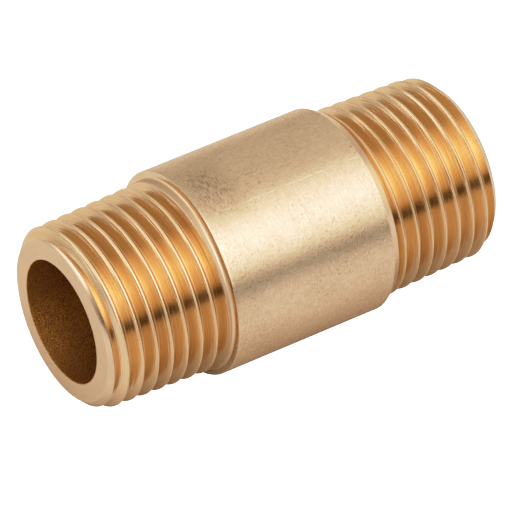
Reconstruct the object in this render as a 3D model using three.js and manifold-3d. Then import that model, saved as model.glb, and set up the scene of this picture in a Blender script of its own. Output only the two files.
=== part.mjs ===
// A barrel nipple: one piece of turned brass with a through bore, a plain round barrel in the middle
// and a right-hand taper pipe thread, 14 turns to the inch, on each end.
//
// Frame: millimetres, +X along the axis from the front end to the rear end, +Z up, origin at mid-length.
// Angles round the axis are measured from +Y towards +Z.

import * as THREE from 'three';
import { mergeVertices } from 'three/addons/utils/BufferGeometryUtils.js';
import Module from 'manifold-3d';

// Whole body
const LENGTH = 50;
const BORE_RADIUS = 7.05;
const BARREL_RADIUS = 11.72;

// Shoulders, where the barrel steps down to the threads
const FRONT_SHOULDER_X = -10.06;
const FRONT_EDGE_BREAK = 0.1;
const FRONT_FILLET = 0.28;
const REAR_SHOULDER_X = 10.9;
const REAR_SHOULDER_RADIUS = 11.08;
const REAR_CHAMFER_LENGTH = 1.0;

// Taper pipe thread: 60 degree form, flattened crests and roots
const PITCH = 25.4 / 14;
const THREAD_DEPTH = 1.3;
const CREST_FLAT = 0.17;
const FLANK_ANGLE = THREE.MathUtils.degToRad(30);
const CREST_RADIUS_AT_FACE = 10.4;
const RADIUS_PER_LENGTH = 1 / 32;

// End chamfers, at 45 degrees, from the rim of the end face up to the crests
const FRONT_RIM_RADIUS = 9.2;
const REAR_RIM_RADIUS = 9.05;

// Where the threads stand: the axial place of one groove's middle at the reference angle
const REFERENCE_ANGLE = THREE.MathUtils.degToRad(135.7);
const FRONT_GROOVE_X = -11.54;
const REAR_GROOVE_X = 10.85;

// The front groove runs out of the metal just short of its shoulder
const RUN_OUT_START = THREE.MathUtils.degToRad(100);
const RUN_OUT_LENGTH = THREE.MathUtils.degToRad(90);

// Facets: the flats, not the corners, stand at the true radius, and one flat faces straight down
const SEGMENTS = 32;
const STEP = 2 * Math.PI / SEGMENTS;
const CORNER_FACTOR = 1 / Math.cos(STEP / 2);
const TOOL_CLEARANCE = 0.12;

// The barrel's ring is joined on from here outwards, below the deepest thread root
const CORE_RADIUS = 9;

const HALF_LENGTH = LENGTH / 2;

const wasm = await Module();
wasm.setup();

function toSolid(geometry) {
  geometry.deleteAttribute('normal');
  geometry.deleteAttribute('uv');
  const merged = mergeVertices(geometry, 1e-4);
  return new wasm.Manifold(new wasm.Mesh({
    numProp: 3,
    vertProperties: new Float32Array(merged.attributes.position.array),
    triVerts: new Uint32Array(merged.index.array),
  }));
}

function toGeometry(solid) {
  const mesh = solid.getMesh();
  const geometry = new THREE.BufferGeometry();
  geometry.setAttribute('position', new THREE.BufferAttribute(mesh.vertProperties, 3));
  geometry.setIndex(new THREE.BufferAttribute(mesh.triVerts, 1));
  geometry.computeVertexNormals();
  return geometry;
}

// Radius over the crests; both threads taper down towards their free ends
function crestRadius(x) {
  return CREST_RADIUS_AT_FACE + (HALF_LENGTH - Math.abs(x)) * RADIUS_PER_LENGTH;
}

// Turns an outline of (axial place, radius) pairs round the X axis
function turned(outline) {
  const profile = outline.map(([x, radius]) => new THREE.Vector2(radius * CORNER_FACTOR, x));
  profile.push(profile[0].clone());
  const lathe = new THREE.LatheGeometry(profile, SEGMENTS, STEP / 2);
  lathe.rotateZ(-Math.PI / 2);
  return toSolid(lathe);
}

// The bored pipe before threading, which runs on under the barrel
function pipe() {
  const frontChamfer = CREST_RADIUS_AT_FACE - FRONT_RIM_RADIUS;
  const rearChamfer = CREST_RADIUS_AT_FACE - REAR_RIM_RADIUS;
  const frontCrestX = -HALF_LENGTH + frontChamfer;
  const rearCrestX = HALF_LENGTH - rearChamfer;
  const filletX = FRONT_SHOULDER_X - FRONT_FILLET;
  return turned([
    [-HALF_LENGTH, BORE_RADIUS],
    [-HALF_LENGTH, FRONT_RIM_RADIUS],
    [frontCrestX, crestRadius(frontCrestX)],
    [filletX, crestRadius(filletX)],
    [FRONT_SHOULDER_X, crestRadius(filletX) + FRONT_FILLET],
    [0, crestRadius(0)],
    [rearCrestX, crestRadius(rearCrestX)],
    [HALF_LENGTH, REAR_RIM_RADIUS],
    [HALF_LENGTH, BORE_RADIUS],
  ]);
}

// The barrel's ring. Its rear shoulder slopes down like a thread flank until it meets the last groove.
function barrel() {
  const footX = REAR_SHOULDER_X + (REAR_SHOULDER_RADIUS - CORE_RADIUS) * Math.tan(FLANK_ANGLE);
  return turned([
    [FRONT_SHOULDER_X, CORE_RADIUS],
    [FRONT_SHOULDER_X, BARREL_RADIUS - FRONT_EDGE_BREAK],
    [FRONT_SHOULDER_X + FRONT_EDGE_BREAK, BARREL_RADIUS],
    [REAR_SHOULDER_X - REAR_CHAMFER_LENGTH, BARREL_RADIUS],
    [REAR_SHOULDER_X, REAR_SHOULDER_RADIUS],
    [footX, CORE_RADIUS],
  ]);
}

// The threading tool's section, with its nose at the thread's root and its top just clear of the crests
function toolSection() {
  const slope = Math.tan(FLANK_ANGLE);
  const top = (PITCH - CREST_FLAT) / 2 + TOOL_CLEARANCE * slope;
  const nose = (PITCH - CREST_FLAT) / 2 - THREAD_DEPTH * slope;
  return new THREE.Shape([
    new THREE.Vector2(-nose, -THREAD_DEPTH),
    new THREE.Vector2(nose, -THREAD_DEPTH),
    new THREE.Vector2(top, TOOL_CLEARANCE),
    new THREE.Vector2(-top, TOOL_CLEARANCE),
  ]);
}

// The helical path of the tool: its section is extruded straight, then wound round the axis.
// grooveX is the groove's middle at the reference angle, and turns count from there.
function groove(grooveX, firstTurn, lastTurn, liftAt) {
  const firstStep = Math.round((firstTurn * 2 * Math.PI + REFERENCE_ANGLE) / STEP);
  const lastStep = Math.round((lastTurn * 2 * Math.PI + REFERENCE_ANGLE) / STEP);
  const steps = lastStep - firstStep;
  const wound = new THREE.ExtrudeGeometry(toolSection(), { depth: steps, steps, bevelEnabled: false });
  const place = wound.attributes.position;
  for (let i = 0; i < place.count; i += 1) {
    const angle = (firstStep + Math.round(place.getZ(i)) + 0.5) * STEP;
    const turn = (angle - REFERENCE_ANGLE) / (2 * Math.PI);
    const x = grooveX + turn * PITCH + place.getX(i);
    const radius = (crestRadius(x) + place.getY(i) + liftAt(turn)) * CORNER_FACTOR;
    place.setXYZ(i, x, radius * Math.cos(angle), radius * Math.sin(angle));
  }
  return toSolid(wound);
}

// The front groove starts in the air off the front end and lifts out of the metal behind the last turn
function frontGroove() {
  const turnsToFace = (FRONT_GROOVE_X + HALF_LENGTH + PITCH) / PITCH;
  const runOutEnd = (RUN_OUT_START + RUN_OUT_LENGTH) / (2 * Math.PI);
  const lift = (turn) => {
    const along = (turn * 2 * Math.PI - RUN_OUT_START) / RUN_OUT_LENGTH;
    return Math.max(0, along) * (THREAD_DEPTH + TOOL_CLEARANCE);
  };
  return groove(FRONT_GROOVE_X, -turnsToFace, runOutEnd, lift);
}

// The rear groove starts under the barrel, whose ring then closes it up to the shoulder
function rearGroove() {
  const turnsToFace = (HALF_LENGTH - REAR_GROOVE_X + PITCH) / PITCH;
  return groove(REAR_GROOVE_X, -0.5, turnsToFace, () => 0);
}

function nippleBody() {
  const solid = pipe().subtract(frontGroove()).subtract(rearGroove()).add(barrel());
  const brass = new THREE.MeshStandardMaterial({ color: 0xd2a26a, roughness: 0.35, metalness: 1 });
  const mesh = new THREE.Mesh(toGeometry(solid), brass);
  mesh.name = 'nipple_body';
  return mesh;
}

const nipple = new THREE.Group();
nipple.add(nippleBody());

export default nipple;
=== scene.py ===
"""A turned brass barrel nipple: round barrel, through bore, a taper pipe thread on each end.

Metres, +X along the axis from the front end to the rear end, +Z up, origin at mid-length.
Sizes below are in millimetres, as on a workshop drawing, and MM turns them into metres.
"""

import math

import bpy
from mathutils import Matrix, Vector


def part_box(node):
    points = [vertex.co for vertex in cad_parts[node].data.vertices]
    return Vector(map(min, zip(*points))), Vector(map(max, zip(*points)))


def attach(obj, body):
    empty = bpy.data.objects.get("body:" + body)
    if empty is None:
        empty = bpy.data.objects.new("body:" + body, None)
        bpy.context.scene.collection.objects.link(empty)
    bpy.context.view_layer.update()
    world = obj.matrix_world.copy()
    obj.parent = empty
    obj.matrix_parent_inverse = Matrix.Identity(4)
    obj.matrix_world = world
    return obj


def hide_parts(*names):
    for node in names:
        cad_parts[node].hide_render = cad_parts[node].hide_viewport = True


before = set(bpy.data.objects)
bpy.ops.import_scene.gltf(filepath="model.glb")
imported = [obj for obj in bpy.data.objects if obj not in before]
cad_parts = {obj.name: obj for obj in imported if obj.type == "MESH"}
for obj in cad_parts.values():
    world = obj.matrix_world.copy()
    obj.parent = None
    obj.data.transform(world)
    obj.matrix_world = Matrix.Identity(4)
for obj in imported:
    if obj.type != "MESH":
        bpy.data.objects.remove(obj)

MM = 0.001
TURN = 2 * math.pi
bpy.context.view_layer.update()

# Whole body, from the frame
BODY_LOW, BODY_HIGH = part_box("nipple_body")
HALF_LENGTH = (BODY_HIGH.x - BODY_LOW.x) / 2 / MM
BARREL_RADIUS = (BODY_HIGH.y - BODY_LOW.y) / 2 / MM
BORE_RADIUS = 7.05

# Shoulders
FRONT_SHOULDER_X = -10.06
FRONT_FILLET = 0.28
REAR_SHOULDER_X = 10.9
REAR_SHOULDER_RADIUS = 11.08
REAR_CHAMFER_LENGTH = 1.0
CORE_RADIUS = 9.0
EDGE_BREAK = 0.06

# Taper pipe thread
PITCH = 25.4 / 14
THREAD_DEPTH = 1.3
CREST_FLAT = 0.17
FLANK_SLOPE = math.tan(math.radians(30))
CREST_RADIUS_AT_FACE = 10.4
RADIUS_PER_LENGTH = 1 / 32
FRONT_RIM_RADIUS = 9.2
REAR_RIM_RADIUS = 9.05

# Where the grooves stand: the place of a groove's middle at the reference angle round the axis
REFERENCE_ANGLE = math.radians(135.7)
FRONT_GROOVE_X = -11.54
REAR_GROOVE_X = 10.85

# The rings that every turned and threaded shape is divided into
SEGMENTS = 192
STEP = TURN / SEGMENTS
FRONT_TOOL_END = 174
FRONT_TOOL_TURNS = 9
RUN_OUT_STEPS = 48
TOOL_CLEARANCE = 0.1
REAR_TOOL_START = -24
REAR_TOOL_TURNS = 10

# Finishing the mesh
WELD_DISTANCE = 0.0005
SMOOTH_ANGLE = math.radians(32)
FLAT_FACE_WEIGHT = 90

# Camera
VIEW_AZIMUTH = math.radians(-33.09)
VIEW_ELEVATION = math.radians(39.29)
VIEW_DISTANCE = 709.5
VIEW_ASIDE = -0.235
VIEW_BELOW = -1.609
LENS = 461.8
SENSOR_WIDTH = 36


# ---------------------------------------------------------------- workshop helpers

def deselect_everything():
    bpy.ops.object.select_all(action="DESELECT")


def work_on(piece):
    deselect_everything()
    piece.select_set(True)
    bpy.context.view_layer.objects.active = piece


def edit(piece):
    work_on(piece)
    bpy.ops.object.mode_set(mode="EDIT")
    bpy.ops.mesh.select_mode(type="EDGE")
    bpy.ops.mesh.select_all(action="DESELECT")


def leave_edit():
    bpy.ops.object.mode_set(mode="OBJECT")


def apply_modifier(piece, modifier):
    work_on(piece)
    bpy.ops.object.modifier_apply(modifier=modifier.name)


def crest_radius(x):
    """Radius over the thread crests; both threads taper towards their free ends."""
    return CREST_RADIUS_AT_FACE + (HALF_LENGTH - abs(x)) * RADIUS_PER_LENGTH


def arc(start, end, bulge, steps):
    """Points of a shallow arc between two (place, radius) points, bulge being its height."""
    (x0, r0), (x1, r1) = start, end
    length = math.hypot(x1 - x0, r1 - r0)
    across = (-(r1 - r0) / length, (x1 - x0) / length)
    points = []
    for i in range(steps + 1):
        t = i / steps
        rise = 4 * t * (1 - t) * bulge
        points.append((x0 + (x1 - x0) * t + across[0] * rise, r0 + (r1 - r0) * t + across[1] * rise))
    return points


# ---------------------------------------------------------------- the nipple's body

def pipe_outline():
    """(place, radius) all round the section of the bored pipe before threading."""
    front_crest_x = -HALF_LENGTH + CREST_RADIUS_AT_FACE - FRONT_RIM_RADIUS
    rear_crest_x = HALF_LENGTH - (CREST_RADIUS_AT_FACE - REAR_RIM_RADIUS)
    fillet_x = FRONT_SHOULDER_X - FRONT_FILLET
    fillet_top = crest_radius(fillet_x) + FRONT_FILLET
    e = EDGE_BREAK
    return [
        (-HALF_LENGTH + e, BORE_RADIUS),
        (-HALF_LENGTH, BORE_RADIUS + e),
        (-HALF_LENGTH, FRONT_RIM_RADIUS - e),
        (-HALF_LENGTH + e * 0.7, FRONT_RIM_RADIUS + e * 0.7),
        (front_crest_x - e, crest_radius(front_crest_x) - e),
        (front_crest_x + e, crest_radius(front_crest_x + e)),
        *arc((fillet_x, crest_radius(fillet_x)), (FRONT_SHOULDER_X, fillet_top), -0.08, 5),
        (0, crest_radius(0)),
        (rear_crest_x - e, crest_radius(rear_crest_x - e)),
        (rear_crest_x + e, crest_radius(rear_crest_x) - e),
        (HALF_LENGTH - e * 0.7, REAR_RIM_RADIUS + e * 0.7),
        (HALF_LENGTH, REAR_RIM_RADIUS - e),
        (HALF_LENGTH, BORE_RADIUS + e),
        (HALF_LENGTH - e, BORE_RADIUS),
    ]


def barrel_outline():
    """The same for the barrel's ring. Its rear shoulder slopes down to the last groove like a flank."""
    rear_edge_x = REAR_SHOULDER_X - REAR_CHAMFER_LENGTH
    foot_x = REAR_SHOULDER_X + (REAR_SHOULDER_RADIUS - CORE_RADIUS) * FLANK_SLOPE
    e = EDGE_BREAK
    return [
        (FRONT_SHOULDER_X, CORE_RADIUS),
        (FRONT_SHOULDER_X, BARREL_RADIUS - e * 1.6),
        (FRONT_SHOULDER_X + e * 0.5, BARREL_RADIUS - e * 0.5),
        (FRONT_SHOULDER_X + e * 1.6, BARREL_RADIUS),
        (FRONT_SHOULDER_X + e * 1.6 + 0.3, BARREL_RADIUS),
        (rear_edge_x - 0.3, BARREL_RADIUS),
        (rear_edge_x, BARREL_RADIUS),
        *arc((REAR_SHOULDER_X - 0.12, REAR_SHOULDER_RADIUS + 0.077),
             (REAR_SHOULDER_X + 0.05, REAR_SHOULDER_RADIUS - 0.087), 0.02, 4),
        (foot_x, CORE_RADIUS),
    ]


def turned(name, outline):
    """A turned ring: one circle drawn along the outline and closed on itself."""
    x, radius = outline[0]
    deselect_everything()
    bpy.ops.mesh.primitive_circle_add(
        vertices=SEGMENTS, radius=radius * MM, location=(x * MM, 0, 0), rotation=(0, math.pi / 2, 0))
    ring = bpy.context.object
    ring.name = name
    bpy.ops.object.transform_apply(location=True, rotation=True, scale=True)
    edit(ring)
    bpy.ops.mesh.select_all(action="SELECT")
    for next_x, next_radius in outline[1:]:
        bpy.ops.mesh.extrude_edges_move()
        bpy.ops.transform.translate(value=((next_x - x) * MM, 0, 0))
        grow = next_radius / radius
        bpy.ops.transform.resize(value=(1, grow, grow), center_override=(next_x * MM, 0, 0))
        x, radius = next_x, next_radius
    bpy.ops.mesh.select_all(action="DESELECT")
    bpy.ops.mesh.select_non_manifold()
    bpy.ops.mesh.bridge_edge_loops()
    bpy.ops.mesh.select_all(action="SELECT")
    bpy.ops.mesh.normals_make_consistent(inside=False)
    leave_edit()
    return ring


def tool_section():
    """(across, depth) all round the threading tool: nose, flanks, and lips that round the crests."""
    half_gap = (PITCH - CREST_FLAT) / 2
    root_half = half_gap - THREAD_DEPTH * FLANK_SLOPE
    right = [
        (root_half * 0.2, -THREAD_DEPTH),
        (root_half * 0.75, -THREAD_DEPTH + 0.02),
        (root_half + 0.06 * FLANK_SLOPE, -THREAD_DEPTH + 0.09),
        (root_half + 0.2 * FLANK_SLOPE, -THREAD_DEPTH + 0.2),
        (half_gap - 0.2 * FLANK_SLOPE, -0.2),
        (half_gap - 0.03 * FLANK_SLOPE, -0.03),
        (half_gap + 0.006, -0.01),
        (half_gap + 0.025, 0.002),
        (half_gap + 0.033, 0.06),
    ]
    return right + [(-across, depth) for across, depth in reversed(right)]


def lift_out(step):
    """How far the front tool stands lifted out of the metal, that many steps before its path ends."""
    share = max(0.0, 1 - step / RUN_OUT_STEPS)
    return share * (THREAD_DEPTH + TOOL_CLEARANCE)


def thread_tool(name, groove_x, start_step, turns, lift=None):
    """The tool's section wound round the axis as a right-hand helix and closed at both ends."""
    section = tool_section()
    deselect_everything()
    bpy.ops.mesh.primitive_circle_add(vertices=len(section), radius=MM)
    tool = bpy.context.object
    tool.name = name
    angle = start_step * STEP
    start_x = groove_x + PITCH * (angle - REFERENCE_ANGLE) / TURN
    for corner, (across, depth) in zip(tool.data.vertices, section):
        radius = CREST_RADIUS_AT_FACE + depth
        corner.co = Vector((start_x + across, radius * math.cos(angle), radius * math.sin(angle))) * MM
    winding = tool.modifiers.new("winding", "SCREW")
    winding.axis = "X"
    winding.angle = TURN
    winding.steps = SEGMENTS
    winding.render_steps = SEGMENTS
    winding.iterations = turns
    winding.screw_offset = PITCH * MM
    apply_modifier(tool, winding)
    last_ring = turns * SEGMENTS
    for i, corner in enumerate(tool.data.vertices):
        radius = math.hypot(corner.co.y, corner.co.z) / MM
        rise = crest_radius(corner.co.x / MM) - CREST_RADIUS_AT_FACE
        if lift:
            rise += lift(last_ring - i // len(section))
        corner.co.y *= 1 + rise / radius
        corner.co.z *= 1 + rise / radius
    edit(tool)
    bpy.ops.mesh.select_non_manifold()
    bpy.ops.mesh.fill_holes(sides=len(section))
    bpy.ops.mesh.select_all(action="SELECT")
    bpy.ops.mesh.normals_make_consistent(inside=False)
    leave_edit()
    return tool


def join_or_cut(piece, other, operation):
    working = piece.modifiers.new("working", "BOOLEAN")
    working.operation = operation
    working.solver = "MANIFOLD"
    working.object = other
    apply_modifier(piece, working)
    bpy.data.objects.remove(other)


def nipple():
    body = turned("nipple_body_turned", pipe_outline())
    front_tool_start = FRONT_TOOL_END - FRONT_TOOL_TURNS * SEGMENTS
    front_tool = thread_tool("front_tool", FRONT_GROOVE_X, front_tool_start, FRONT_TOOL_TURNS, lift_out)
    join_or_cut(body, front_tool, "DIFFERENCE")
    rear_tool = thread_tool("rear_tool", REAR_GROOVE_X, REAR_TOOL_START, REAR_TOOL_TURNS)
    join_or_cut(body, rear_tool, "DIFFERENCE")
    join_or_cut(body, turned("barrel", barrel_outline()), "UNION")
    edit(body)
    bpy.ops.mesh.select_all(action="SELECT")
    bpy.ops.mesh.remove_doubles(threshold=WELD_DISTANCE * MM)
    leave_edit()
    work_on(body)
    bpy.ops.object.shade_smooth_by_angle(angle=SMOOTH_ANGLE)
    weighting = body.modifiers.new("flat_faces_stay_flat", "WEIGHTED_NORMAL")
    weighting.keep_sharp = True
    weighting.weight = FLAT_FACE_WEIGHT
    apply_modifier(body, weighting)
    return body


# ---------------------------------------------------------------- node helpers

class Bench:
    """Adds nodes to one node tree. A value may be a number, a tuple or another node's output."""

    def __init__(self, tree):
        self.tree = tree

    def add(self, kind, **settings):
        made = self.tree.nodes.new(kind)
        for name, value in settings.items():
            setattr(made, name, value)
        return made

    def feed(self, socket, value):
        if isinstance(value, bpy.types.NodeSocket):
            self.tree.links.new(value, socket)
        else:
            socket.default_value = value

    def math(self, operation, *values, clamp=False):
        made = self.add("ShaderNodeMath", operation=operation, use_clamp=clamp)
        for socket, value in zip(made.inputs, values):
            self.feed(socket, value)
        return made.outputs[0]

    def spread(self, value, low, high, to_low=0.0, to_high=1.0, smooth=True):
        """Maps low..high to to_low..to_high, held at both ends."""
        made = self.add("ShaderNodeMapRange", clamp=True)
        made.interpolation_type = "SMOOTHSTEP" if smooth else "LINEAR"
        for socket, number in zip(made.inputs, (value, low, high, to_low, to_high)):
            self.feed(socket, number)
        return made.outputs[0]

    def vector(self, x, y, z):
        made = self.add("ShaderNodeCombineXYZ")
        for socket, value in zip(made.inputs, (x, y, z)):
            self.feed(socket, value)
        return made.outputs[0]

    def split(self, vector):
        made = self.add("ShaderNodeSeparateXYZ")
        self.feed(made.inputs[0], vector)
        return made.outputs

    def stretch(self, vector, factors):
        made = self.add("ShaderNodeVectorMath", operation="MULTIPLY")
        self.feed(made.inputs[0], vector)
        self.feed(made.inputs[1], factors)
        return made.outputs[0]

    def noise(self, vector, scale=1.0, detail=2.0, roughness=0.5):
        made = self.add("ShaderNodeTexNoise")
        self.feed(made.inputs["Vector"], vector)
        self.feed(made.inputs["Scale"], scale)
        self.feed(made.inputs["Detail"], detail)
        self.feed(made.inputs["Roughness"], roughness)
        return made.outputs[0]

    def both(self, *values):
        """The product of all the values, so a mask where all of them hold."""
        product = values[0]
        for value in values[1:]:
            product = self.math("MULTIPLY", product, value)
        return product

    def blend(self, factor, first_turn_painted_light, second):
        made = self.add("ShaderNodeMix", data_type="RGBA", blend_type="MIX")
        self.feed(made.inputs[0], factor)
        self.feed(made.inputs[6], first_turn_painted_light)
        self.feed(made.inputs[7], second)
        return made.outputs[2]

    def bump(self, height, depth):
        """Depth is in millimetres for a height from 0 to 1."""
        made = self.add("ShaderNodeBump")
        made.inputs["Distance"].default_value = depth * MM
        self.feed(made.inputs["Height"], height)
        return made.outputs[0]


def new_group(name, inputs, outputs):
    """A shader node group with those sockets; gives its bench, its given values and its results."""
    tree = bpy.data.node_groups.new(name, "ShaderNodeTree")
    for socket, kind in inputs.items():
        tree.interface.new_socket(socket, in_out="INPUT", socket_type=kind)
    for socket, kind in outputs.items():
        tree.interface.new_socket(socket, in_out="OUTPUT", socket_type=kind)
    bench = Bench(tree)
    return bench, bench.add("NodeGroupInput").outputs, bench.add("NodeGroupOutput").inputs


def use_group(bench, tree, **values):
    made = bench.add("ShaderNodeGroup", node_tree=tree)
    for name, value in values.items():
        bench.feed(made.inputs[name.replace("_", " ")], value)
    return made.outputs


VECTOR = "NodeSocketVector"
NUMBER = "NodeSocketFloat"


def thread_place_group():
    """Where a point is on the fitting, in millimetres and turns."""
    bench, given, result = new_group(
        "Place on the fitting", {"Position": VECTOR},
        {"Point": VECTOR, "Axial": NUMBER, "Radius": NUMBER, "Turn": NUMBER,
         "Depth": NUMBER, "Across": NUMBER, "Along": NUMBER})
    point = bench.stretch(given["Position"], (1 / MM, 1 / MM, 1 / MM))
    x, y, z = bench.split(point)
    squares = bench.math("ADD", bench.math("MULTIPLY", y, y), bench.math("MULTIPLY", z, z))
    radius = bench.math("SQRT", squares)
    turn = bench.math("DIVIDE", bench.math("ARCTAN2", z, y), TURN)
    inward = bench.math("SUBTRACT", HALF_LENGTH, bench.math("ABSOLUTE", x))
    crest = bench.math("MULTIPLY_ADD", inward, RADIUS_PER_LENGTH, CREST_RADIUS_AT_FACE)
    rear = bench.math("GREATER_THAN", x, 0.0)
    groove_x = bench.math("MULTIPLY_ADD", rear, REAR_GROOVE_X - FRONT_GROOVE_X, FRONT_GROOVE_X)
    pitches = bench.math("DIVIDE", bench.math("SUBTRACT", x, groove_x), PITCH)
    wound = bench.math("SUBTRACT", bench.math("ADD", pitches, 0.5 + REFERENCE_ANGLE / TURN), turn)
    across = bench.math("FRACT", wound)
    bench.feed(result["Point"], point)
    bench.feed(result["Axial"], x)
    bench.feed(result["Radius"], radius)
    bench.feed(result["Turn"], turn)
    bench.feed(result["Depth"], bench.math("SUBTRACT", crest, radius))
    bench.feed(result["Across"], across)
    bench.feed(result["Along"], bench.math("SUBTRACT", pitches, across))
    return bench.tree


def tool_marks_group():
    """Lines that a cutting tool leaves: close across the feed, long along the cut."""
    bench, given, result = new_group(
        "Tool marks",
        {"Across": NUMBER, "Along": NUMBER, "Lines per mm": NUMBER, "Breaks": NUMBER, "Seed": NUMBER},
        {"Fine": NUMBER, "Broad": NUMBER})
    line = bench.math("MULTIPLY", given["Across"], given["Lines per mm"])
    run = bench.math("MULTIPLY", given["Along"], given["Breaks"])
    fine = bench.noise(bench.vector(line, run, given["Seed"]), detail=3.0, roughness=0.65)
    broad_line = bench.math("MULTIPLY", line, 0.22)
    broad_run = bench.math("MULTIPLY", run, 0.3)
    broad_seed = bench.math("ADD", given["Seed"], 7.3)
    broad = bench.noise(bench.vector(broad_line, broad_run, broad_seed), detail=1.5)
    bench.feed(result["Fine"], fine)
    bench.feed(result["Broad"], broad)
    return bench.tree


def metal_skin_group():
    """Pits, smudges and grain of bare handled brass."""
    bench, given, result = new_group(
        "Bare metal skin", {"Point": VECTOR, "Seed": NUMBER},
        {"Pits": NUMBER, "Smudge": NUMBER, "Grain": NUMBER})
    shift = bench.vector(given["Seed"], given["Seed"], given["Seed"])
    moved = bench.add("ShaderNodeVectorMath", operation="ADD")
    bench.feed(moved.inputs[0], given["Point"])
    bench.feed(moved.inputs[1], shift)
    point = moved.outputs[0]
    speck = bench.noise(point, scale=2.6, detail=2.0, roughness=0.6)
    bench.feed(result["Pits"], bench.spread(speck, 0.66, 0.74))
    bench.feed(result["Smudge"], bench.spread(bench.noise(point, scale=0.22, detail=3.0), 0.35, 0.7))
    bench.feed(result["Grain"], bench.noise(point, scale=9.0, detail=3.0, roughness=0.7))
    return bench.tree


# ---------------------------------------------------------------- brass finishes

BRASS = (0.78, 0.56, 0.35, 1)
BRASS_EDGE = (0.95, 0.85, 0.72, 1)
BRASS_DARK = (0.50, 0.32, 0.16, 1)
CUT_BRASS = (0.76, 0.495, 0.255, 1)
# Darker cut brass: for dull tool streaks, and as painted shade in the groove roots.
CUT_BRASS_DULL_AND_SHADED = (0.63, 0.39, 0.185, 1)
# Pale brass: rubbed wear on the crests, and painted light on the upper flanks and the first turn.
PALE_WEAR_AND_PAINTED_LIGHT_BRASS = (0.82, 0.565, 0.32, 1)
# Darker brass for the front land: painted shade.
LAND_PAINTED_SHADE_BRASS = (0.54, 0.38, 0.235, 1)
BORE_BRASS = (0.62, 0.27, 0.055, 1)
BORE_BRASS_DARK = (0.22, 0.085, 0.02, 1)
BORE_EDGE = (0.55, 0.28, 0.08, 1)
BRASS_STAIN = (0.34, 0.22, 0.12, 1)

# Marks of handling on the barrel: (turn, first place, last place, strength) of long scratches, and one
# rubbed patch
LONG_SCRATCHES = ((0.3169, -8.0, 10.0, 0.8), (0.3414, -10.0, -3.0, 0.3), (0.441, -9.0, 0.0, 0.3))
GRIP_TURN = 0.274
GRIP_X = -7.2

# The front thread's uncut land, darkened as painted shade, and its first turn, paler as painted light:
# where each fades in and out along the axis
LAND_START = (-11.3, -11.1)
LAND_END = (-10.4, -10.3)
FIRST_TURN_PAINTED_LIGHT_START = (-24.0, -23.7)
FIRST_TURN_PAINTED_LIGHT_END = (-23.2, -22.4)


def brass_material(name, roughness):
    material = bpy.data.materials.new(name)
    material.use_nodes = True
    material.node_tree.nodes.clear()
    bench = Bench(material.node_tree)
    shader = bench.add("ShaderNodeBsdfPrincipled")
    shader.inputs["Metallic"].default_value = 1.0
    shader.inputs["Base Color"].default_value = BRASS
    shader.inputs["Roughness"].default_value = roughness
    shader.inputs["Specular Tint"].default_value = BRASS_EDGE
    output = bench.add("ShaderNodeOutputMaterial")
    bench.feed(output.inputs["Surface"], shader.outputs[0])
    position = bench.add("ShaderNodeTexCoord").outputs["Object"]
    return material, bench, shader.inputs, position


def threaded_brass(groups):
    """Cut brass: streaks along the thread, paler rubbed crests, painted shade deeper in the grooves, a
    duller land at the front shoulder darkened as painted shade, and a first turn paler as painted light.
    """
    material, bench, shader, position = brass_material("threaded_brass", 0.2)
    place = use_group(bench, groups["place"], Position=position)
    flank = bench.math("MULTIPLY_ADD", place["Across"], 0.9, place["Depth"])
    marks = use_group(bench, groups["marks"], Across=flank, Along=place["Along"],
                      Lines_per_mm=4.2, Breaks=4.0, Seed=3.0)
    skin = use_group(bench, groups["skin"], Point=place["Point"], Seed=11.0)
    crest = bench.spread(place["Depth"], 0.01, 0.04, 1.0, 0.0)
    land = bench.both(
        bench.spread(place["Axial"], *LAND_START),
        bench.spread(place["Axial"], *LAND_END, 1.0, 0.0),
        bench.spread(place["Depth"], 0.02, 0.1, 1.0, 0.0))
    crest = bench.math("SUBTRACT", crest, land, clamp=True)
    first_turn_painted_light = bench.both(
        bench.spread(place["Axial"], *FIRST_TURN_PAINTED_LIGHT_START),
        bench.spread(place["Axial"], *FIRST_TURN_PAINTED_LIGHT_END, 1.0, 0.0),
        0.6)
    root = bench.spread(place["Depth"], THREAD_DEPTH - 0.12, THREAD_DEPTH - 0.02)
    streak = bench.spread(bench.math("ADD", marks["Fine"], marks["Broad"]), 0.8, 1.2)
    tone = bench.blend(streak, CUT_BRASS_DULL_AND_SHADED, CUT_BRASS)
    # Painted shade: the groove roots are darkened.
    tone = bench.blend(bench.math("MULTIPLY", root, 0.35), tone, CUT_BRASS_DULL_AND_SHADED)
    # Painted shade: the thread is paler towards its crests and darker deeper down the flanks.
    tone = bench.blend(bench.spread(place["Depth"], 0.0, 0.7, 0.6, 0.0), tone, PALE_WEAR_AND_PAINTED_LIGHT_BRASS)
    # Crests are paler from rubbing wear; the first turn is paler as painted light.
    tone = bench.blend(bench.math("MAXIMUM", crest, first_turn_painted_light), tone, PALE_WEAR_AND_PAINTED_LIGHT_BRASS)
    # Painted shade: the land at the front shoulder is darkened.
    tone = bench.blend(land, tone, LAND_PAINTED_SHADE_BRASS)
    spots = bench.math("MULTIPLY", skin["Pits"], bench.math("MULTIPLY_ADD", crest, 0.4, 0.25))
    bench.feed(shader["Base Color"], bench.blend(spots, tone, BRASS_DARK))
    cut = bench.spread(marks["Fine"], 0.2, 0.8, 0.13, 0.2)
    cut = bench.math("MULTIPLY_ADD", root, 0.15, cut)
    cut = bench.math("MULTIPLY_ADD", land, 0.45, cut)
    bench.feed(shader["Roughness"], bench.math("MULTIPLY_ADD", crest, 0.18, cut))
    height = bench.math("MULTIPLY_ADD", skin["Grain"], bench.math("MULTIPLY", crest, 0.5), marks["Fine"])
    bench.feed(shader["Normal"], bench.bump(height, 0.045))
    return material


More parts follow.
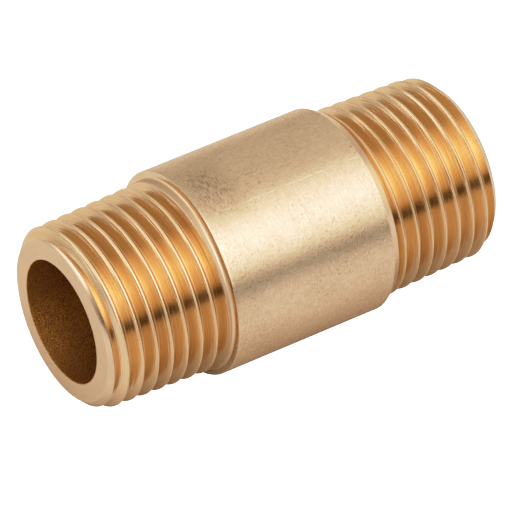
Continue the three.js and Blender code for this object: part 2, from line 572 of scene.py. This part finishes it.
def faced_brass(groups):
    """Matt faced ends, with the faint rings of the facing cut."""
    material, bench, shader, position = brass_material("faced_brass", 0.4)
    place = use_group(bench, groups["place"], Position=position)
    marks = use_group(bench, groups["marks"], Across=place["Radius"], Along=place["Turn"],
                      Lines_per_mm=8.0, Breaks=0.0, Seed=21.0)
    skin = use_group(bench, groups["skin"], Point=place["Point"], Seed=29.0)
    height = bench.math("MULTIPLY_ADD", skin["Grain"], 0.7, marks["Fine"])
    bench.feed(shader["Normal"], bench.bump(height, 0.02))
    tone = bench.blend(bench.spread(marks["Fine"], 0.3, 0.7, 0.35, 0.05), BRASS, BRASS_DARK)
    tone = bench.blend(bench.math("MULTIPLY", skin["Smudge"], 0.12), tone, BRASS_DARK)
    tone = bench.blend(bench.math("MULTIPLY", skin["Pits"], 0.2), tone, BRASS_DARK)
    bench.feed(shader["Base Color"], tone)
    bench.feed(shader["Roughness"], bench.spread(marks["Fine"], 0.2, 0.8, 0.34, 0.46))
    return material


def chamfered_brass(groups):
    """Chamfers and the square front shoulder, smoother than the faces."""
    material, bench, shader, position = brass_material("chamfered_brass", 0.2)
    place = use_group(bench, groups["place"], Position=position)
    feed = bench.math("SUBTRACT", place["Radius"], place["Axial"])
    marks = use_group(bench, groups["marks"], Across=feed, Along=place["Turn"],
                      Lines_per_mm=5.0, Breaks=0.0, Seed=41.0)
    skin = use_group(bench, groups["skin"], Point=place["Point"], Seed=47.0)
    height = bench.math("MULTIPLY_ADD", skin["Grain"], 0.4, marks["Fine"])
    bench.feed(shader["Normal"], bench.bump(height, 0.008))
    tone = bench.blend(bench.math("MULTIPLY", skin["Smudge"], 0.3), BRASS, BRASS_DARK)
    bench.feed(shader["Base Color"], tone)
    bench.feed(shader["Roughness"], bench.spread(skin["Grain"], 0.3, 0.7, 0.17, 0.25))
    return material


def drawn_brass(groups):
    """The barrel: a close weave of short marks, thin scratches along it, dark flecks and one smudge."""
    material, bench, shader, position = brass_material("drawn_brass", 0.3)
    place = use_group(bench, groups["place"], Position=position)
    point = place["Point"]
    weave = bench.noise(bench.stretch(point, (7.5, 1.3, 1.3)), detail=2.0, roughness=0.65)
    cross = bench.noise(bench.stretch(point, (1.3, 7.5, 7.5)), detail=2.0, roughness=0.65)
    drag = bench.noise(bench.stretch(point, (0.12, 5.0, 5.0)), detail=2.0, roughness=0.5)
    scratch = bench.spread(drag, 0.68, 0.76, 0.0, 0.35)
    for turn, start, end, strength in LONG_SCRATCHES:
        off = bench.math("ABSOLUTE", bench.math("SUBTRACT", place["Turn"], turn))
        line = bench.spread(off, 0.0003, 0.0010, strength, 0.0)
        broken = bench.spread(bench.noise(bench.stretch(point, (0.7, 0.1, 0.1)), detail=2.0), 0.35, 0.5)
        long_scratch = bench.both(
            bench.spread(place["Axial"], start, start + 1.5),
            bench.spread(place["Axial"], end - 1.5, end, 1.0, 0.0),
            broken, line)
        scratch = bench.math("MAXIMUM", scratch, long_scratch)
    height = bench.math("MULTIPLY_ADD", cross, 0.7, weave)
    height = bench.math("MULTIPLY_ADD", scratch, -0.5, height)
    bench.feed(shader["Normal"], bench.bump(height, 0.016))
    patch = bench.spread(bench.noise(point, scale=0.16, detail=2.0), 0.40, 0.60)
    speck = bench.spread(bench.noise(point, scale=3.6, detail=1.5, roughness=0.5), 0.59, 0.67)
    grip_side = bench.math("ABSOLUTE", bench.math("SUBTRACT", place["Turn"], GRIP_TURN))
    grip_place = bench.math("ABSOLUTE", bench.math("SUBTRACT", place["Axial"], GRIP_X))
    rubbed = bench.both(
        bench.spread(grip_side, 0.02, 0.085, 1.0, 0.0),
        bench.spread(grip_place, 0.8, 3.6, 1.0, 0.0),
        bench.spread(weave, 0.44, 0.6, 0.1, 0.9))
    dull = bench.spread(bench.math("ADD", weave, cross), 0.82, 1.18, 0.45, 0.0)
    tone = bench.blend(dull, BRASS, BRASS_DARK)
    tone = bench.blend(bench.math("MULTIPLY", patch, 0.12), tone, BRASS_DARK)
    stain = bench.math("MULTIPLY", speck, bench.math("MULTIPLY_ADD", patch, 0.45, 0.1))
    tone = bench.blend(stain, tone, BRASS_STAIN)
    tone = bench.blend(rubbed, tone, BRASS_STAIN)
    bench.feed(shader["Base Color"], bench.blend(bench.math("MULTIPLY", scratch, 0.5), tone, BRASS_EDGE))
    grain = bench.spread(weave, 0.3, 0.7, 0.36, 0.26)
    bench.feed(shader["Roughness"], bench.math("MULTIPLY_ADD", rubbed, 0.15, grain))
    return material


def bored_brass(groups):
    """The drilled bore: rougher and browner, with the drill's rings and torn grain."""
    material, bench, shader, position = brass_material("bored_brass", 0.45)
    place = use_group(bench, groups["place"], Position=position)
    marks = use_group(bench, groups["marks"], Across=place["Axial"], Along=place["Turn"],
                      Lines_per_mm=5.0, Breaks=0.0, Seed=31.0)
    skin = use_group(bench, groups["skin"], Point=place["Point"], Seed=17.0)
    height = bench.math("MULTIPLY_ADD", skin["Grain"], 2.0, marks["Fine"])
    bench.feed(shader["Normal"], bench.bump(height, 0.04))
    shader["Specular Tint"].default_value = BORE_EDGE
    tone = bench.blend(bench.spread(skin["Grain"], 0.4, 0.6), BORE_BRASS_DARK, BORE_BRASS)
    bench.feed(shader["Base Color"], tone)
    bench.feed(shader["Roughness"], bench.spread(skin["Grain"], 0.3, 0.7, 0.55, 0.4))
    return material


def finish_by_place(body, finishes):
    """Gives each face the finish of the cut that made it."""
    threaded, faced, chamfered, drawn, bored = range(5)
    body.data.materials.clear()
    for finish in finishes:
        body.data.materials.append(finish)
    end_depth = HALF_LENGTH - 0.03
    chamfer_start = REAR_SHOULDER_X - REAR_CHAMFER_LENGTH + 0.01
    chamfer_end = REAR_SHOULDER_X + 0.06
    for face in body.data.polygons:
        x, y, z = face.center / MM
        radius = math.hypot(y, z)
        slope = abs(face.normal.x)
        front_chamfer = abs((radius - FRONT_RIM_RADIUS) - (x + HALF_LENGTH)) < 0.04 and slope > 0.6
        rear_chamfer = abs((radius - REAR_RIM_RADIUS) + (x - HALF_LENGTH)) < 0.04 and slope > 0.6
        barrel_chamfer = chamfer_start < x < chamfer_end and radius > REAR_SHOULDER_RADIUS - 0.1
        outside_crests = radius > CREST_RADIUS_AT_FACE
        front_shoulder = abs(x - FRONT_SHOULDER_X) < 0.02 and outside_crests and slope > 0.9
        if radius < BORE_RADIUS + 0.03 and slope < 0.9:
            kind = bored
        elif abs(x) > end_depth:
            kind = faced
        elif front_chamfer or rear_chamfer or barrel_chamfer or front_shoulder:
            kind = chamfered
        elif FRONT_SHOULDER_X + 0.02 < x < REAR_SHOULDER_X - 0.02 and outside_crests:
            kind = drawn
        else:
            kind = threaded
        face.material_index = kind


# ---------------------------------------------------------------- studio

FLOOR_SIZE = 0.5
FLOOR_GAP = 0.02
WHITE_TO_CAMERA = 3.0
SOFT_BOX_STRENGTH = 3.0
SIDE_BOX_STRENGTH = 1.4
END_LIGHT_STRENGTH = 0.8
GAP_DARKNESS = 0.95
LEFT_DARKNESS = 0.4
ROOM_LOW = 0.62
ROOM_HIGH = 0.82
ROOM_TINT = (1.0, 0.972, 0.94, 1)
BOX_TINT = (1, 1.01, 1.1, 1)
FLOOR_OPEN = (0.75, 0.745, 0.74, 1)
# The darker floor grey is a shadow painted under the part, seen in the brass.
FLOOR_PAINTED_SHADOW = (0.50, 0.44, 0.39, 1)


def make_floor():
    """Pale and plain: pure white to the camera, and a matt grey in the brass, with a shadow painted darker
    underneath the part.
    """
    deselect_everything()
    bpy.ops.mesh.primitive_plane_add(size=FLOOR_SIZE, location=(0, 0, -(BARREL_RADIUS + FLOOR_GAP) * MM))
    floor = bpy.context.object
    floor.name = "studio_floor"
    material = bpy.data.materials.new("pale_floor")
    material.use_nodes = True
    material.node_tree.nodes.clear()
    bench = Bench(material.node_tree)
    matt = bench.add("ShaderNodeBsdfDiffuse")
    x, y, z = bench.split(bench.add("ShaderNodeTexCoord").outputs["Object"])
    # Painted shadow: the floor's grey is darker close under the part and lighter further out.
    aside = bench.spread(bench.math("DIVIDE", bench.math("ABSOLUTE", y), MM), 6.0, 24.0)
    beyond = bench.spread(bench.math("DIVIDE", bench.math("ABSOLUTE", x), MM), 22.0, 32.0)
    floor_tone_with_painted_shadow = bench.blend(bench.math("MAXIMUM", aside, beyond), FLOOR_PAINTED_SHADOW, FLOOR_OPEN)
    bench.feed(matt.inputs["Color"], floor_tone_with_painted_shadow)
    lit = bench.add("ShaderNodeEmission")
    lit.inputs["Strength"].default_value = WHITE_TO_CAMERA
    mix = bench.add("ShaderNodeMixShader")
    bench.feed(mix.inputs[0], bench.add("ShaderNodeLightPath").outputs["Is Camera Ray"])
    bench.feed(mix.inputs[1], matt.outputs[0])
    bench.feed(mix.inputs[2], lit.outputs[0])
    bench.feed(bench.add("ShaderNodeOutputMaterial").inputs["Surface"], mix.outputs[0])
    floor.data.materials.append(material)


def make_studio_light():
    """A pale room with a long soft box above the front, a small one far left and two darker gaps.

    Directions are the world's own: x, y and z run from -1 to 1, and tilt is in degrees from behind, over
    the top (90), to the front (180).
    """
    world = bpy.data.worlds.new("studio")
    bpy.context.scene.world = world
    world.use_nodes = True
    world.node_tree.nodes.clear()
    bench = Bench(world.node_tree)
    x, y, z = bench.split(bench.add("ShaderNodeTexCoord").outputs["Generated"])
    tilt = bench.math("MULTIPLY", bench.math("ARCTAN2", z, y), 180 / math.pi)
    back_slant = bench.spread(x, 0.45, 0.6, 0.0, -16.0)
    front_slant = bench.spread(x, 0.45, 0.6, 0.0, 20.0)
    box_back = bench.spread(bench.math("ADD", tilt, back_slant), 84.0, 128.0, smooth=False)
    box_front = bench.spread(bench.math("ADD", tilt, front_slant), 134.0, 168.0, 1.0, 0.0, smooth=False)
    box_right = bench.spread(x, 0.37, 0.57, 1.0, 0.08)
    box_left = bench.spread(x, -0.6, -0.2)
    soft_box = bench.both(box_back, box_front, box_right, box_left)
    front = bench.spread(y, 0.0, -0.35)
    low = bench.spread(z, 0.14, 0.22, 1.0, 0.0)
    gap = bench.both(front, low, bench.spread(x, 0.75, 0.95, 1.0, 0.3))
    end_light = bench.both(bench.spread(x, 0.8, 0.96), bench.spread(y, 0.35, 0.1))
    left_dark = bench.both(
        bench.spread(x, -0.55, -0.75), bench.spread(y, 0.12, 0.0),
        bench.spread(z, 0.0, 0.06), bench.spread(z, 0.54, 0.64, 1.0, 0.0))
    side_box = bench.both(
        bench.spread(x, -0.35, -0.5), bench.spread(y, -0.02, 0.07),
        bench.spread(z, 0.16, 0.26), bench.spread(z, 0.6, 0.75, 1.0, 0.0))
    room = bench.spread(tilt, 0.0, 90.0, ROOM_LOW, ROOM_HIGH, smooth=False)
    room = bench.math("MULTIPLY", room, bench.math("MULTIPLY_ADD", gap, -GAP_DARKNESS, 1.0))
    room = bench.math("MULTIPLY", room, bench.math("MULTIPLY_ADD", left_dark, -LEFT_DARKNESS, 1.0))
    room = bench.math("MULTIPLY_ADD", end_light, END_LIGHT_STRENGTH, room)
    total = bench.math("MULTIPLY_ADD", soft_box, SOFT_BOX_STRENGTH, room)
    total = bench.math("MULTIPLY_ADD", side_box, SIDE_BOX_STRENGTH, total)
    tint = bench.blend(bench.math("MAXIMUM", soft_box, side_box), ROOM_TINT, BOX_TINT)
    lit = bench.add("ShaderNodeBackground")
    bench.feed(lit.inputs["Color"], tint)
    bench.feed(lit.inputs["Strength"], total)
    white = bench.add("ShaderNodeBackground")
    white.inputs["Strength"].default_value = WHITE_TO_CAMERA
    mix = bench.add("ShaderNodeMixShader")
    bench.feed(mix.inputs[0], bench.add("ShaderNodeLightPath").outputs["Is Camera Ray"])
    bench.feed(mix.inputs[1], lit.outputs[0])
    bench.feed(mix.inputs[2], white.outputs[0])
    bench.feed(bench.add("ShaderNodeOutputWorld").inputs["Surface"], mix.outputs[0])


def make_camera():
    right = Vector((math.cos(VIEW_AZIMUTH), math.sin(VIEW_AZIMUTH), 0))
    back = Vector((
        math.sin(VIEW_AZIMUTH) * math.cos(VIEW_ELEVATION),
        -math.cos(VIEW_AZIMUTH) * math.cos(VIEW_ELEVATION),
        math.sin(VIEW_ELEVATION)))
    up = back.cross(right)
    place = right * VIEW_ASIDE + up * VIEW_BELOW + back * VIEW_DISTANCE
    data = bpy.data.cameras.new("camera")
    data.lens = LENS
    data.sensor_width = SENSOR_WIDTH
    data.clip_start = 0.01
    camera = bpy.data.objects.new("camera", data)
    bpy.context.collection.objects.link(camera)
    camera.location = place * MM
    camera.rotation_euler = back.to_track_quat("Z", "Y").to_euler()
    bpy.context.scene.camera = camera


TONE_KNEE = 0.6
TONE_WHITE = 1.85
TONE_RANGE = 4.0
TONE_POINTS = 24


def set_print_tone():
    """Straight up to the knee, then a shoulder that closes on white."""
    view = bpy.context.scene.view_settings
    view.view_transform = "Standard"
    view.look = "None"
    view.use_curve_mapping = True
    mapping = view.curve_mapping
    mapping.white_level = (TONE_RANGE, TONE_RANGE, TONE_RANGE)
    curve = mapping.curves[3]
    reach = TONE_WHITE - TONE_KNEE
    for i in range(TONE_POINTS):
        share = i / (TONE_POINTS - 1)
        light = TONE_KNEE + reach * share
        shown = 1 - (1 - TONE_KNEE) * (1 - share) ** 2
        curve.points.new(light / TONE_RANGE, shown)
    for point in curve.points:
        point.handle_type = "VECTOR"
    mapping.update()


def main():
    make_camera()
    make_floor()
    make_studio_light()
    set_print_tone()
    groups = {"place": thread_place_group(), "marks": tool_marks_group(), "skin": metal_skin_group()}
    body = nipple()
    finish_by_place(body, [
        threaded_brass(groups), faced_brass(groups), chamfered_brass(groups), drawn_brass(groups),
        bored_brass(groups)])
    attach(body, "root")
    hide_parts("nipple_body")


main()
